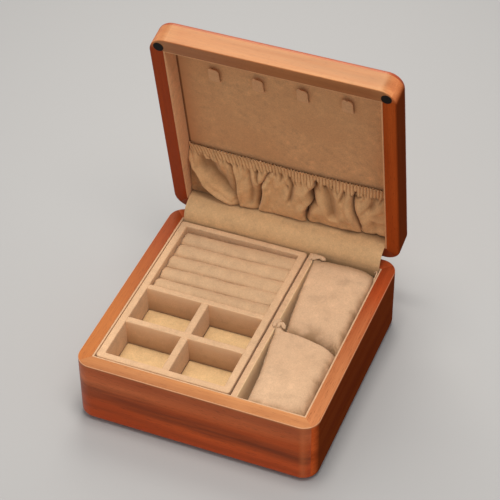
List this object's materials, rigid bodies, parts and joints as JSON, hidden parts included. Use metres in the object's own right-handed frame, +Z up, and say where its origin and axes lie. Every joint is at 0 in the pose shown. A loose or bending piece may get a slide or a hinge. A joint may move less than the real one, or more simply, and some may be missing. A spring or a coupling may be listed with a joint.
{
  "type": "jewellery box with ring tray",
  "caption": "Square wooden jewellery box, lid standing open: lift-out suede ring tray, pillow cushions, and a lid lined with hooks and an elastic pocket.",
  "frame": {"origin": "centre of the underside, on the surface the box stands on", "axes": "+Z up, +X to the right seen from the front, +Y to the back where the hinges are"},
  "size_m": [0.25, 0.2785, 0.3263],
  "materials": {
    "wood": "satin reddish-brown stained and lacquered hardwood, straight grain",
    "wood_inner": "plain board",
    "felt": "dark felt",
    "suede": "tan microsuede, fine short nap",
    "suede_panel": "tan microsuede, mottled nap",
    "soft_suede": "tan microsuede over soft filling",
    "rubber": "matt black",
    "brass": "brushed",
    "steel": "bright"
  },
  "bodies": {
    "base": {"base_front": "wood", "base_back": "wood", "base_left": "wood", "base_right": "wood", "base_bottom": "wood_inner", "base_felt": "felt", "lining_front": "suede", "lining_back": "suede", "lining_left": "suede", "lining_right": "suede", "floor_liner": "suede", "well_divider": "suede", "tray_ledge_left": "suede", "tray_ledge_right": "suede", "well_riser": "suede", "hinge_left_base_leaf": "brass", "hinge_right_base_leaf": "brass", "hinge_pin_left": "steel", "hinge_pin_right": "steel", "hinge_screws_base": "brass"},
    "lid": {"lid_front": "wood", "lid_back": "wood", "lid_left": "wood", "lid_right": "wood", "lid_top": "wood", "lid_lining_front": "suede", "lid_lining_back": "suede", "lid_lining_left": "suede", "lid_lining_right": "suede", "lid_panel": "suede_panel", "necklace_hook_1": "suede", "necklace_hook_2": "suede", "necklace_hook_3": "suede", "necklace_hook_4": "suede", "pocket": "soft_suede", "pocket_elastic": "soft_suede", "bumper_left": "rubber", "bumper_right": "rubber", "hinge_left_lid_leaf": "brass", "hinge_right_lid_leaf": "brass", "hinge_screws_lid": "brass", "hinge_flap": "suede"},
    "tray": {"tray_floor": "suede", "tray_wall_left": "suede", "tray_wall_right": "suede", "tray_wall_front": "suede", "tray_wall_back": "suede", "tray_divider_rings": "suede", "tray_divider_middle": "suede", "tray_divider_cross_rear": "suede", "tray_divider_cross_front": "suede"},
    "ring_insert": {"ring_pad": "suede", "ring_roll_1": "suede", "ring_roll_2": "suede", "ring_roll_3": "suede", "ring_roll_4": "suede", "ring_roll_5": "suede"},
    "cushion_rear": {"cushion_rear": "soft_suede"},
    "cushion_front": {"cushion_front": "soft_suede"}
  },
  "joints": [
    {"name": "lid_hinge", "type": "hinge", "parent": "base", "child": "lid", "pos_m": [0, 0.1265, 0.0749], "axis": [-1, 0, 0], "range_deg": [-79, 0], "deforming": ["hinge_flap"]},
    {"name": "tray_lift", "type": "slide", "parent": "base", "child": "tray", "axis": [0, 0, 1], "range_m": [0, 0.08]},
    {"name": "ring_insert_lift", "type": "slide", "parent": "tray", "child": "ring_insert", "axis": [0, 0, 1], "range_m": [0, 0.04]},
    {"name": "cushion_rear_lift", "type": "slide", "parent": "base", "child": "cushion_rear", "axis": [0, 0, 1], "range_m": [0, 0.08]},
    {"name": "cushion_front_lift", "type": "slide", "parent": "base", "child": "cushion_front", "axis": [0, 0, 1], "range_m": [0, 0.08]}
  ]
}
